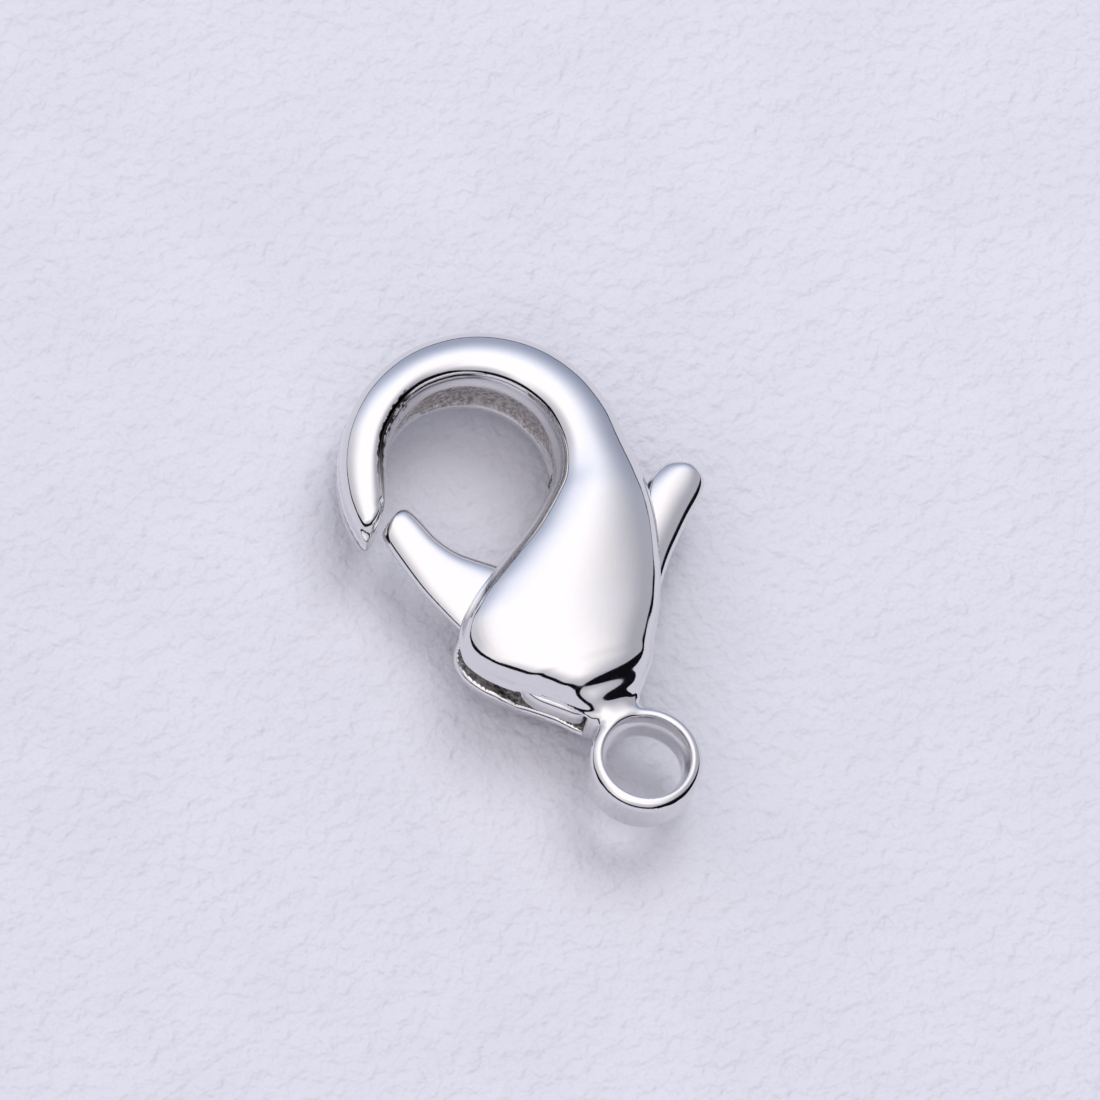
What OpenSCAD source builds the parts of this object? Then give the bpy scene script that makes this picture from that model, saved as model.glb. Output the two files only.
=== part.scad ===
// Lobster clasp: a cast hook body with an end ring, a sprung lever and the rivet that it turns on.
// It lies flat in XY. The end ring's hole is at the origin, the hook points along +Y,
// the gate closes on the -X side and the thumb tab comes out on the +X side.

/* [Body] */
// Length over the end ring and the hook
clasp_length = 12; // [11:0.25:15]
// Width across the belly
belly_width = 5.2; // [4.6:0.1:6.4]
// Thickness through the crown of the belly
belly_thickness = 2.9; // [2.6:0.1:3.6]

/* [Hook] */
// Radius of the hook's eye
eye_radius = 1.82; // [1.5:0.02:2.1]
// Width of the hook's bar where it crosses the axis
hook_width = 1.16; // [0.9:0.02:1.4]
// Thickness of the hook's bar
hook_thickness = 2.4; // [2:0.1:3]

/* [End ring] */
// Radius of the end ring's hole
ring_hole_radius = 0.84; // [0.6:0.01:1.1]
// Wall of the end ring
ring_wall = 0.39; // [0.3:0.01:0.6]
// Height of the end ring
ring_height = 1.24; // [1.1:0.02:1.9]

/* [Slot and lever] */
// Metal between the end ring and the slot
web = 0.22; // [0.16:0.02:0.4]
// Thickness of the lever
lever_thickness = 0.68; // [0.5:0.02:0.9]
// Gap above and below the lever in its slot
lever_gap = 0.04; // [0.03:0.01:0.1]
// Radius of the lever's hub
hub_radius = 1.05; // [0.8:0.05:1.3]
// How far the thumb tab stands out past the belly
tab_reach = 1.15; // [0.7:0.05:1.8]
// Gap between the middle of the gate's end and the slanted end of the hook
gate_gap = 0.16; // [0.14:0.01:0.4]

/* [Rivet] */
// Radius of the rivet
rivet_radius = 0.35; // [0.25:0.05:0.5]
// Running clearance of the lever's bore on the rivet
running_clearance = 0.04; // [0.02:0.01:0.08]
// Metal left over each end of the rivet
rivet_cover = 0.35; // [0.25:0.05:0.5]

/* [Hidden] */
$fn = 64;

// Stations lofted for each row of a table, and points round each section
STEPS = 3;
SECTION_POINTS = 32;
SEAT_GAP = 0.01;
HUB_GAP = 0.1;
// Where the slot's upper edge meets the eye and the right flank, as shares of the belly's width and span
SLOT_EYE = [0.25, 0.84];
SLOT_FLANK = 0.72;
// End of the thumb tab as shares of the belly's width and span, and the end of the gate along the
// slanted end of the hook as a share of the eye's radius
TAB_END = [0.635, 0.697];
GATE_END = 0.057;
// Discs round which the heel of the lever runs at the slot's open side: each one's centre from the
// rivet's and its radius, as shares of the hub's radius
HEELS = [[-0.48, 0.28, 1.03], [-0.52, -0.60, 0.42]];
// The rivet stands a little off the clasp's axis
PIVOT_SHIFT = 0.05;

ring_outer = ring_hole_radius + ring_wall;
eye_y = clasp_length - ring_outer - hook_width - eye_radius;
belly_span = eye_y - ring_outer;
slot_height = lever_thickness + 2 * lever_gap;

// The hook's outer arc is a larger circle, set off towards the belly, so its bar grows on that side
OUTER_SHIFT = [0.25, -0.15];
outer_centre = [0, eye_y] + OUTER_SHIFT;
outer_radius = eye_radius + hook_width - OUTER_SHIFT.y;
// The gate's side of the hook ends at these angles on the inner and the outer arc, and the outer arc
// grows by this share towards its end
TIP_INNER = 184;
TIP_OUTER = 189.5;
TIP_FLARE = 0.04;
// The hook's end drops from its crest at the cap line to a sloping facet on each side of the middle
// plane. Each is given by its place along the slanted end and ahead of it, as shares of the end's
// width, and by how far it is turned from the end's own direction.
TIP_CAP = [0.56, -0.22, -25];
TIP_FACET = [0.655, -0.01, -41];
// Height of the facet at its place as a share of half the hook's thickness, and its slope
TIP_LIP = 0.125;
TIP_TILT = 33;

// The lever turns on the rivet, close above the web that closes the slot behind the end ring
web_y = ring_outer + web;
pivot = [PIVOT_SHIFT, web_y + HUB_GAP + hub_radius];

// Sections of the belly, from the neck to the eye. X is a share of the belly's width, Y a share of
// the way from the end ring to the eye's centre, and the rise a share of half the belly's thickness.
// Squareness shapes each flank, the crowns are the shares of the rise that are domed on each side,
// the lean is the share of the width that the left flank loses towards the top, and the crest is
// where the section is highest, as a share of its width.
LEFT_X = 0; LEFT_Y = 1; RIGHT_X = 2; RIGHT_Y = 3; RISE = 4; LEFT_SQUARE = 5; RIGHT_SQUARE = 6;
LEFT_CROWN = 7; RIGHT_CROWN = 8; LEAN = 9; CREST = 10;
BELLY = [
    [-0.112, -0.027,  0.080, -0.027, 0.42, 3.2, 3.2, 0.04, 0.04, 0.00, 0.50],
    [-0.124,  0.015,  0.088,  0.025, 0.48, 3.6, 3.6, 0.05, 0.05, 0.00, 0.50],
    [-0.160,  0.058,  0.120,  0.058, 0.62, 4.0, 4.0, 0.06, 0.06, 0.02, 0.50],
    [-0.184,  0.081,  0.142,  0.077, 0.71, 4.2, 4.4, 0.08, 0.08, 0.02, 0.50],
    [-0.208,  0.108,  0.162,  0.100, 0.84, 4.2, 4.8, 0.10, 0.10, 0.03, 0.50],
    [-0.264,  0.156,  0.208,  0.124, 0.94, 4.2, 5.6, 0.16, 0.14, 0.04, 0.50],
    [-0.346,  0.226,  0.258,  0.158, 0.97, 4.0, 6.4, 0.22, 0.18, 0.04, 0.50],
    [-0.425,  0.310,  0.306,  0.198, 0.99, 3.8, 7.4, 0.26, 0.22, 0.03, 0.50],
    [-0.460,  0.394,  0.356,  0.248, 1.00, 3.7, 8.2, 0.28, 0.24, 0.02, 0.50],
    [-0.418,  0.478,  0.404,  0.306, 1.00, 3.5, 8.6, 0.29, 0.25, 0.01, 0.50],
    [-0.290,  0.560,  0.454,  0.372, 1.00, 3.3, 8.8, 0.29, 0.26, 0.00, 0.49],
    [-0.118,  0.630,  0.503,  0.451, 1.00, 3.2, 8.6, 0.27, 0.27, 0.00, 0.47],
    [ 0.042,  0.692,  0.552,  0.539, 0.99, 3.2, 8.0, 0.25, 0.28, 0.00, 0.44]
];

// Sections between the belly and the hook: angle on the eye, then the right flank as shares of the
// belly's width and of the way to the eye's centre, and the rise, squareness, crowns and crest as for
// the belly, with the eye's side as the left one
SHOULDER = [
    [-60, 0.590, 0.627, 0.965, 3.2, 7.4, 0.22, 0.30, 0.42],
    [-40, 0.616, 0.722, 0.920, 3.2, 6.8, 0.20, 0.32, 0.40],
    [-20, 0.634, 0.838, 0.870, 3.2, 6.4, 0.19, 0.33, 0.38]
];
SHOULDER_RISE = 3;

// Sections of the hook: angle on the eye, its radius there as a share of the eye's, share of the
// hook's thickness, and squareness, crowns and crest from the inside to the outside
HOOK = [
    [  0, 1.00, 0.995, 3.3, 6.2, 0.18, 0.33, 0.37],
    [ 18, 1.00, 0.965, 3.4, 6.0, 0.18, 0.32, 0.37],
    [ 36, 1.00, 0.950, 3.4, 6.0, 0.18, 0.30, 0.37],
    [ 54, 1.00, 0.940, 3.4, 6.0, 0.18, 0.29, 0.37],
    [ 72, 1.00, 0.930, 3.4, 6.0, 0.18, 0.28, 0.37],
    [ 90, 1.00, 0.910, 3.4, 6.0, 0.18, 0.28, 0.37],
    [106, 1.00, 0.890, 3.3, 6.0, 0.18, 0.28, 0.37],
    [122, 1.00, 0.860, 3.1, 6.0, 0.18, 0.28, 0.38],
    [138, 1.01, 0.820, 2.9, 6.0, 0.18, 0.28, 0.39],
    [152, 1.02, 0.770, 2.8, 6.0, 0.18, 0.28, 0.40],
    [164, 1.05, 0.715, 2.8, 6.0, 0.18, 0.26, 0.42],
    [173, 1.10, 0.665, 3.0, 6.0, 0.18, 0.22, 0.44],
    [180, 1.17, 0.610, 3.4, 6.0, 0.14, 0.16, 0.46],
    [184, 1.23, 0.560, 3.8, 6.0, 0.12, 0.14, 0.48]
];
HOOK_RISE = 2;

// One section of a loft: its left and right end in plan, half its thickness, then the squareness and
// the crown on each side, the lean and the crest
function belly_section(row) = [
    [row[LEFT_X] * belly_width, ring_outer + row[LEFT_Y] * belly_span],
    [row[RIGHT_X] * belly_width, ring_outer + row[RIGHT_Y] * belly_span],
    row[RISE] * belly_thickness / 2, row[LEFT_SQUARE], row[RIGHT_SQUARE], row[LEFT_CROWN],
    row[RIGHT_CROWN], row[LEAN], row[CREST]
];

function shoulder_section(row) = [
    [0, eye_y] + eye_radius * [cos(row[0]), sin(row[0])],
    [row[1] * belly_width, ring_outer + row[2] * belly_span],
    row[SHOULDER_RISE] * belly_thickness / 2, row[4], row[5], row[6], row[7], 0, row[8]
];

// Towards the tip the outer angle runs ahead of the inner one, which slants the end of the hook
function tip_share(angle) = pow(max(0, (angle - 90) / (TIP_INNER - 90)), 2);
function outer_angle(angle) = angle + (TIP_OUTER - TIP_INNER) * tip_share(angle);

function hook_section(row) = [
    [0, eye_y] + row[1] * eye_radius * [cos(row[0]), sin(row[0])],
    outer_centre + outer_radius * (1 + TIP_FLARE * tip_share(row[0]))
        * [cos(outer_angle(row[0])), sin(outer_angle(row[0]))],
    row[HOOK_RISE] * hook_thickness / 2, row[3], row[4], row[5], row[6], 0, row[7]
];

body_sections = concat(
    [for (row = BELLY) belly_section(row)],
    [for (row = SHOULDER) shoulder_section(row)],
    [for (row = HOOK) hook_section(row)]
);

// The gate ends short of the slanted end of the hook
hook_end = hook_section(HOOK[len(HOOK) - 1]);
hook_slant = (hook_end[1] - hook_end[0]) / norm(hook_end[1] - hook_end[0]);
hook_ahead = [-hook_slant.y, hook_slant.x];
gate_end = hook_end[0] + GATE_END * eye_radius * hook_slant + gate_gap * hook_ahead;
tab_end = [TAB_END.x * belly_width + tab_reach, ring_outer + TAB_END.y * belly_span];

// Sections of the gate arm and of the thumb tab, from the hub outwards. The columns are the left
// edge's place along and across the line from the pivot to the arm's end, the same for the right
// edge, all as shares of that line's length, and the share of the lever's thickness.
GATE = [
    [0.000,  0.170, 0.000, -0.160, 1.00],
    [0.170,  0.200, 0.200, -0.200, 1.00],
    [0.330,  0.205, 0.380, -0.190, 1.00],
    [0.493,  0.195, 0.520, -0.135, 1.00],
    [0.619,  0.175, 0.623, -0.097, 1.00],
    [0.739,  0.149, 0.706, -0.071, 1.00],
    [0.871,  0.107, 0.805, -0.067, 1.00],
    [0.945,  0.080, 0.910, -0.090, 0.98],
    [0.985,  0.060, 0.975, -0.096, 0.92],
    [1.000,  0.045, 1.000, -0.075, 0.80]
];
TAB = [
    [0.000,  0.170, 0.000, -0.170, 1.00],
    [0.200,  0.190, 0.200, -0.170, 1.00],
    [0.400,  0.150, 0.400, -0.128, 1.00],
    [0.580,  0.122, 0.568, -0.100, 1.00],
    [0.720,  0.118, 0.700, -0.092, 1.00],
    [0.854,  0.123, 0.800, -0.090, 1.00],
    [0.939,  0.103, 0.900, -0.092, 0.96],
    [0.974,  0.073, 0.960, -0.080, 0.88],
    [0.992,  0.040, 0.990, -0.050, 0.70],
    [1.000,  0.015, 1.000, -0.015, 0.45]
];
// Squareness and crowns from the left to the right edge, lean and crest of each arm
GATE_SHAPE = [2.1, 3.6, 0.10, 0.30, 0, 0.60];
TAB_SHAPE = [3.6, 2.1, 0.30, 0.10, 0, 0.40];

function arm_section(row, end, shape) =
    let (way = end - pivot, side = [-way.y, way.x])
    concat([pivot + row[0] * way + row[1] * side, pivot + row[2] * way + row[3] * side,
            row[4] * lever_thickness / 2], shape);

// Smooth curve through the rows of a table, at a share of the way from row i to row i + 1
function between(rows, i, share) =
    let (last = len(rows) - 1, a = rows[max(0, i - 1)], b = rows[i], c = rows[min(last, i + 1)],
         d = rows[min(last, i + 2)])
    0.5 * (2 * b + share * (c - a) + share * share * (2 * a - 5 * b + 4 * c - d)
           + share * share * share * (3 * b - a - 3 * c + d));

// Rows of a table flattened to plain numbers for the curve, and its stations
function flat(section) = [for (item = section) each item];
function stations(sections) =
    let (rows = [for (section = sections) flat(section)])
    [for (i = [0 : len(rows) - 2]) for (step = [0 : STEPS - 1]) between(rows, i, step / STEPS),
     rows[len(rows) - 1]];

// One point of a quarter of a section, from its side to its top, spread evenly over both
function quarter_point(k, count, squareness) =
    let (half = pow(0.5, 1 / squareness), low = k < count / 2,
         step = half * (low ? k + 0.5 : count - k - 0.5) / (count / 2),
         rest = pow(1 - pow(step, squareness), 1 / squareness))
    low ? [rest, step] : [step, rest];

// Points of a section that stands on the line from its left to its right end
function ring_points(row) =
    let (left = [row[0], row[1]], right = [row[2], row[3]], rise = row[4], lean = row[9], crest = row[10],
         count = SECTION_POINTS / 4)
    [for (i = [0 : SECTION_POINTS - 1])
        let (quarter = floor(i / count), on_left = quarter == 1 || quarter == 2,
             k = quarter % 2 == 0 ? i % count : count - 1 - i % count,
             point = quarter_point(k, count, on_left ? row[5] : row[6]), crown = on_left ? row[7] : row[8],
             share = (1 - crown) * point.y + crown * (1 - point.x * point.x),
             across = on_left ? -point.x * crest * (1 - lean * share) : point.x * (1 - crest),
             plan = left + (crest + across) * (right - left))
        [plan.x, plan.y, (quarter < 2 ? 1 : -1) * rise * share]];

// Closed solid through a list of sections
module loft(sections) {
    rings = [for (row = stations(sections)) ring_points(row)];
    count = len(rings);
    n = SECTION_POINTS;
    sides = [for (k = [0 : count - 2]) for (i = [0 : n - 1])
        let (a = k * n + i, b = k * n + (i + 1) % n)
        each [[a, b, a + n], [b, b + n, a + n]]];
    start = [for (i = [n - 1 : -1 : 0]) i];
    end = [for (i = [0 : n - 1]) (count - 1) * n + i];
    polyhedron(points = [for (ring = rings) each ring], faces = concat(sides, [start, end]), convexity = 8);
}

// The slot runs right through the belly, from the web behind the end ring up to the root of the hook
module slot() {
    reach = belly_width + tab_reach;
    eye_corner = [SLOT_EYE.x * belly_width, ring_outer + SLOT_EYE.y * belly_span];
    linear_extrude(slot_height, center = true)
        polygon([
            [-reach, web_y], [reach, web_y], [reach, ring_outer + SLOT_FLANK * belly_span],
            eye_corner, [-reach, eye_corner.y]
        ]);
}

// Upper half of the end ring's section: shares of the wall outwards from the hole, and of half the height.
// It starts inside the hole, and the bore cuts it back to a true cylinder.
RING_SECTION = [
    [-0.05, 0.50], [0.00, 0.62], [0.10, 0.84], [0.22, 0.96], [0.34, 1.00],
    [0.62, 0.88], [0.86, 0.74], [0.96, 0.62], [1.00, 0.46]
];

module end_ring() {
    upper = [for (p = RING_SECTION) [ring_hole_radius + p.x * ring_wall, p.y * ring_height / 2]];
    lower = [for (i = [len(upper) - 1 : -1 : 0]) [upper[i].x, -upper[i].y]];
    difference() {
        rotate_extrude() polygon(concat(upper, lower));
        ring_bore();
    }
}

module ring_bore() {
    cylinder(r = ring_hole_radius, h = 2 * ring_height, center = true);
}

// Stands what it is given at a place on the hook's end, with +X facing away from the hook
module at_tip(place) {
    at = hook_end[0] + norm(hook_end[1] - hook_end[0]) * (place.x * hook_slant + place.y * hook_ahead);
    translate([at.x, at.y, 0]) rotate(atan2(hook_ahead.y, hook_ahead.x) + place.z) children();
}

// What is cut off the hook's end on each side of the middle plane
module tip_cut() {
    reach = hook_width;
    for (side = [0, 1])
        mirror([0, 0, side])
            intersection() {
                at_tip(TIP_CAP) translate([0, -reach, 0]) cube([reach, 2 * reach, reach]);
                at_tip(TIP_FACET)
                    translate([0, 0, TIP_LIP * hook_thickness / 2]) rotate([0, TIP_TILT, 0])
                        translate([-reach, -reach, 0]) cube([2 * reach, 2 * reach, reach]);
            }
}

module rivet_shape(radius, length) {
    translate([pivot.x, pivot.y, 0]) cylinder(r = radius, h = length, center = true);
}

rivet_length = belly_thickness - 2 * rivet_cover;

module body() {
    color("silver")
        difference() {
            union() {
                loft(body_sections);
                end_ring();
            }
            ring_bore();
            slot();
            tip_cut();
            rivet_shape(rivet_radius + SEAT_GAP, rivet_length + 2 * SEAT_GAP);
        }
}

module disc(centre, radius) {
    translate([centre.x, centre.y, 0]) cylinder(r = radius, h = lever_thickness, center = true);
}

module lever() {
    color("gainsboro")
        difference() {
            union() {
                hull() {
                    disc(pivot, hub_radius);
                    for (heel = HEELS) disc(pivot + hub_radius * [heel.x, heel.y], hub_radius * heel.z);
                }
                loft([for (row = GATE) arm_section(row, gate_end, GATE_SHAPE)]);
                loft([for (row = TAB) arm_section(row, tab_end, TAB_SHAPE)]);
            }
            rivet_shape(rivet_radius + running_clearance, 2 * lever_thickness);
        }
}

module rivet() {
    color("darkgray") rivet_shape(rivet_radius, rivet_length);
}

body();
lever();
rivet();
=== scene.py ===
"""Looks of the lobster clasp: a polished, bright white metal casting with its sprung lever.

The body and the lever are built again from the measures of the solids: as lofts, turned into fine
distance fields that get soft edges and shallow relief, and then meshed. They replace the plain
solids. The rivet's solid stays and gets a better material. Sizes are in millimetres here, and in
metres in the meshes and the scene. The clasp lies on pale paper in soft studio light.
"""

import math

import bpy
import numpy as np
import openvdb
from mathutils import Matrix, Vector


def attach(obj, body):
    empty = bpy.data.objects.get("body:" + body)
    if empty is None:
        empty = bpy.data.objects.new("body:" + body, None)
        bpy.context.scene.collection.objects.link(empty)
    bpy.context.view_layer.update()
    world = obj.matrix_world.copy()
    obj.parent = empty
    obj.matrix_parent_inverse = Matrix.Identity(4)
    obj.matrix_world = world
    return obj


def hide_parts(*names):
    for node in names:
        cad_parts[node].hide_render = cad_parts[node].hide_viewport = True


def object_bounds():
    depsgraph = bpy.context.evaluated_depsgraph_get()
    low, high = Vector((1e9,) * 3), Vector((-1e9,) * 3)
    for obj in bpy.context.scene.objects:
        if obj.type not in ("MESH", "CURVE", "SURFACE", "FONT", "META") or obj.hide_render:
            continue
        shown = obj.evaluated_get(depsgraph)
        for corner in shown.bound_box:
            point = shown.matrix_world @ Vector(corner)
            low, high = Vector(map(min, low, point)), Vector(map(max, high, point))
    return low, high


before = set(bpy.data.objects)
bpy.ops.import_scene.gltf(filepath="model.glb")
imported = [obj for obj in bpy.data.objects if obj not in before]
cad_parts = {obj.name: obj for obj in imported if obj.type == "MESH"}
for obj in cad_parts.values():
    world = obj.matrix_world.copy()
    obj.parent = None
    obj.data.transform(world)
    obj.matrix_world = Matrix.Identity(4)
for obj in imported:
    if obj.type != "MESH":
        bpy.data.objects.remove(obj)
cad_box = [list(corner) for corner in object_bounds()]

MM = 0.001
VOXEL = 0.05
BAND = 6  # half width of the distance fields' band, in voxels
MOVES = 3  # how often a mesh's points are moved towards the field's surface
BODY_SPACE = (-3.3, -1.6, -1.8), (3.8, 11.2, 1.8)
LEVER_SPACE = (-3.0, 1.2, -0.8), (4.8, 8.0, 0.8)

# Sizes of the solids
LENGTH, BELLY_WIDTH, BELLY_THICKNESS = 12.0, 5.2, 2.9
EYE_RADIUS, HOOK_WIDTH, HOOK_THICKNESS = 1.82, 1.16, 2.4
RING_HOLE, RING_WALL = 0.84, 0.39
WEB, LEVER_THICKNESS, LEVER_GAP, HUB_RADIUS = 0.22, 0.68, 0.04, 1.05
TAB_REACH, GATE_GAP, GATE_END = 1.15, 0.16, 0.057
RIVET_RADIUS, CLEARANCE, RIVET_LENGTH = 0.35, 0.04, 2.2
HUB_GAP, PIVOT_SHIFT = 0.1, 0.05
SLOT_EYE, SLOT_FLANK, TAB_END = (0.25, 0.84), 0.72, (0.635, 0.697)
OUTER_SHIFT = np.array((0.25, -0.15))
# The hub's heels: x, y and radius, as shares of the hub's radius
HEELS = (-0.50, 0.27, 1.06), (-0.55, -0.60, 0.44)
TIP_INNER, TIP_OUTER, TIP_FLARE = 184.0, 189.5, 0.05
# End of the hook: a round nose over a sloping facet, each with its place along the slanted end and
# ahead of it and its turn from the end's own direction
TIP_NOSE, TIP_FACET = (0.30, -0.355, -30), (0.73, 0.0, -41)
NOSE_RADIUS, NOSE_SLOPE, TIP_LIP, TIP_TILT = 0.49, 60, 0.30, 29

RING_OUTER = RING_HOLE + RING_WALL
EYE_Y = LENGTH - RING_OUTER - HOOK_WIDTH - EYE_RADIUS
SPAN = EYE_Y - RING_OUTER
SLOT_HEIGHT = LEVER_THICKNESS + 2 * LEVER_GAP
EYE = np.array((0.0, EYE_Y))
OUTER_CENTRE = EYE + OUTER_SHIFT
OUTER_RADIUS = EYE_RADIUS + HOOK_WIDTH - OUTER_SHIFT[1]
WEB_Y = RING_OUTER + WEB
PIVOT = np.array((PIVOT_SHIFT, WEB_Y + HUB_GAP + HUB_RADIUS))

# Belly: left x and y, right x and y, rise, squareness left and right, crown left and right, lean,
# crest. x is a share of the belly's width, y of the way from the end ring to the eye's centre, and
# rise of half the thickness
BELLY = [
    (-0.112, -0.027, 0.104, -0.027, 0.43, 3.2, 3.2, 0.04, 0.04, 0.00, 0.50),
    (-0.124, 0.015, 0.112, 0.025, 0.50, 3.6, 3.6, 0.05, 0.05, 0.00, 0.50),
    (-0.160, 0.060, 0.144, 0.046, 0.630, 4.0, 4.0, 0.06, 0.06, 0.02, 0.50),
    (-0.188, 0.0945, 0.174, 0.0695, 0.728, 4.2, 4.2, 0.08, 0.08, 0.02, 0.50),
    (-0.205, 0.113, 0.191, 0.0825, 0.807, 4.2, 4.4, 0.10, 0.10, 0.03, 0.50),
    (-0.230, 0.135, 0.209, 0.0955, 0.869, 4.3, 4.6, 0.12, 0.12, 0.03, 0.50),
    (-0.262, 0.161, 0.228, 0.110, 0.914, 4.4, 4.8, 0.16, 0.15, 0.04, 0.50),
    (-0.305, 0.196, 0.244, 0.128, 0.945, 4.7, 5.2, 0.19, 0.18, 0.04, 0.50),
    (-0.346, 0.228, 0.258, 0.146, 0.968, 5.0, 5.6, 0.22, 0.20, 0.04, 0.50),
    (-0.425, 0.310, 0.306, 0.198, 0.99, 5.6, 7.0, 0.26, 0.22, 0.03, 0.50),
    (-0.460, 0.394, 0.356, 0.248, 1.00, 6.2, 8.2, 0.28, 0.24, 0.02, 0.50),
    (-0.418, 0.478, 0.404, 0.306, 1.00, 6.4, 8.6, 0.29, 0.25, 0.01, 0.50),
    (-0.290, 0.560, 0.454, 0.372, 1.00, 6.2, 8.8, 0.29, 0.26, 0.00, 0.49),
    (-0.118, 0.630, 0.503, 0.451, 1.00, 5.8, 8.6, 0.27, 0.27, 0.00, 0.47),
    (0.042, 0.692, 0.552, 0.539, 0.99, 5.4, 8.0, 0.25, 0.28, 0.00, 0.44),
]
# Shoulder: angle on the eye, right x and y, rise, squareness inside and outside, crown inside and
# outside, crest
SHOULDER = [
    (-60, 0.590, 0.627, 0.965, 5.0, 7.4, 0.22, 0.30, 0.42),
    (-40, 0.616, 0.722, 0.920, 4.6, 6.8, 0.20, 0.32, 0.40),
    (-20, 0.634, 0.838, 0.870, 4.1, 6.4, 0.19, 0.33, 0.38),
]
# Hook: angle on the eye, radius and thickness shares, squareness inside and outside, crown inside
# and outside, crest
HOOK = [
    (0, 1.00, 0.995, 3.7, 6.2, 0.18, 0.33, 0.37),
    (18, 1.00, 0.965, 3.5, 6.0, 0.18, 0.32, 0.37),
    (36, 1.00, 0.950, 3.4, 6.0, 0.18, 0.30, 0.37),
    (54, 1.00, 0.94, 3.4, 6.0, 0.18, 0.29, 0.37),
    (72, 1.00, 0.93, 3.4, 6.0, 0.18, 0.28, 0.37),
    (90, 1.00, 0.91, 3.4, 6.0, 0.18, 0.28, 0.37),
    (106, 1.00, 0.89, 3.3, 6.0, 0.18, 0.28, 0.37),
    (122, 1.00, 0.86, 3.1, 6.0, 0.18, 0.28, 0.38),
    (138, 1.01, 0.82, 2.9, 6.0, 0.18, 0.28, 0.39),
    (152, 1.02, 0.770, 2.8, 6.0, 0.18, 0.28, 0.40),
    (164, 1.05, 0.715, 3.0, 5.8, 0.18, 0.26, 0.42),
    (173, 1.10, 0.665, 3.6, 5.6, 0.18, 0.22, 0.46),
    (180, 1.17, 0.620, 4.4, 5.6, 0.14, 0.16, 0.50),
    (184, 1.23, 0.590, 5.0, 5.6, 0.12, 0.14, 0.52),
]
HOOK_FLARE_FROM = 90  # angle on the eye from which the outside widens
HOOK_OVERRUN = 2  # how far the loft runs on past the hook's end, in times the last rows' distance

# Arms: left edge along and across, right edge along and across, thickness share
GATE = [
    (0.000, 0.170, 0.000, -0.160, 1.00),
    (0.170, 0.200, 0.200, -0.200, 1.00),
    (0.330, 0.205, 0.380, -0.190, 1.00),
    (0.493, 0.195, 0.520, -0.135, 1.00),
    (0.619, 0.175, 0.623, -0.097, 1.00),
    (0.739, 0.149, 0.706, -0.071, 1.00),
    (0.871, 0.107, 0.805, -0.067, 1.00),
    (0.945, 0.080, 0.910, -0.090, 0.98),
    (0.985, 0.060, 0.975, -0.096, 0.92),
    (1.000, 0.045, 1.000, -0.075, 0.80),
]
TAB = [
    (0.000, 0.170, 0.000, -0.170, 1.00),
    (0.200, 0.190, 0.200, -0.170, 1.00),
    (0.400, 0.150, 0.400, -0.128, 1.00),
    (0.580, 0.122, 0.568, -0.100, 1.00),
    (0.720, 0.118, 0.700, -0.092, 1.00),
    (0.854, 0.123, 0.800, -0.090, 1.00),
    (0.939, 0.103, 0.900, -0.092, 0.96),
    (0.974, 0.073, 0.960, -0.080, 0.88),
    (0.992, 0.040, 0.990, -0.050, 0.70),
    (1.000, 0.015, 1.000, -0.015, 0.45),
]
# Sections of the arms: squareness left and right, crown left and right, lean, crest
GATE_SECTION, TAB_SECTION = (2.1, 3.6, 0.10, 0.30, 0, 0.60), (3.6, 2.1, 0.30, 0.10, 0, 0.40)
HUB_SOFTNESS, ARMS_SOFTNESS, ARMS_TO_HUB_SOFTNESS = 0.26, 0.25, 0.12

# Cuts at the hook's end: their softness, the half height from which the nose slopes, how fast its
# cut ends behind the nose's centre, and the part of the body that the cuts reach
END_SOFTNESS, NOSE_SOFTNESS, FACET_SOFTNESS = 0.16, 0.10, 0.04
NOSE_HALF_HEIGHT, BEHIND_NOSE = 0.45, 3
CUT_REACH, CUT_SIDE = 2.2, -1.2

# End ring: crest and shoulder, each with its angle and the half height that it has at a radius, and
# the flared bore with its slope and the half height from which it widens
RING_CREST, RING_SHOULDER = (24, 0.62, 1.04), (50, 0.57, 1.14)
RING_SLOPE_SOFTNESS, RING_RIM_SOFTNESS, RING_TO_NECK_SOFTNESS = 0.015, 0.03, 0.12
FLARE_SLOPE, FLARE_FROM, FLARE_SOFTNESS, BORE_SOFTNESS = 0.36, 0.25, 0.10, 0.03

# Parting ridge left by the mould round the outside of the hook, with the radii and the way along
# the clasp over which it comes in
RIDGE_HEIGHT, RIDGE_WIDTH, RIDGE_BAND = 0.035, 0.07, (OUTER_RADIUS - 0.5, OUTER_RADIUS - 0.3)
RIDGE_START = EYE_Y - 1.2, EYE_Y - 0.4

# Slot: its corners, and its lips with the bead along them
SLOT_SOFTNESS, LIP_SOFTNESS = 0.06, 0.07
BEAD_HEIGHT, BEAD_DISTANCE, BEAD_WIDTH = 0.065, 0.13, 0.055
# How far each lip closes in, and the ranges over which it does: on the way out from the heel, and
# over -x and -y, past both of the near ranges and at least one of the far ones
LIP_WIDTH, LIP_OFF_HEEL = 0.13, (0.04, 0.30)
LIP_LEFT, LIP_BELOW = (1.15, 1.45), (-4.1, -3.7)
LIP_FAR_LEFT, LIP_FAR_BELOW = (1.70, 1.95), (-3.0, -2.8)
SEAT_GAP = 0.01  # between the rivet and its blind seat
# Painted shade inside the slot, a darker copy of the rough cast: its margin above the slot, and its
# ends along the clasp
SHADE_MARGIN, SHADE_FROM, SHADE_TO = 0.01, WEB_Y - 0.02, EYE_Y - 0.9

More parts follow.
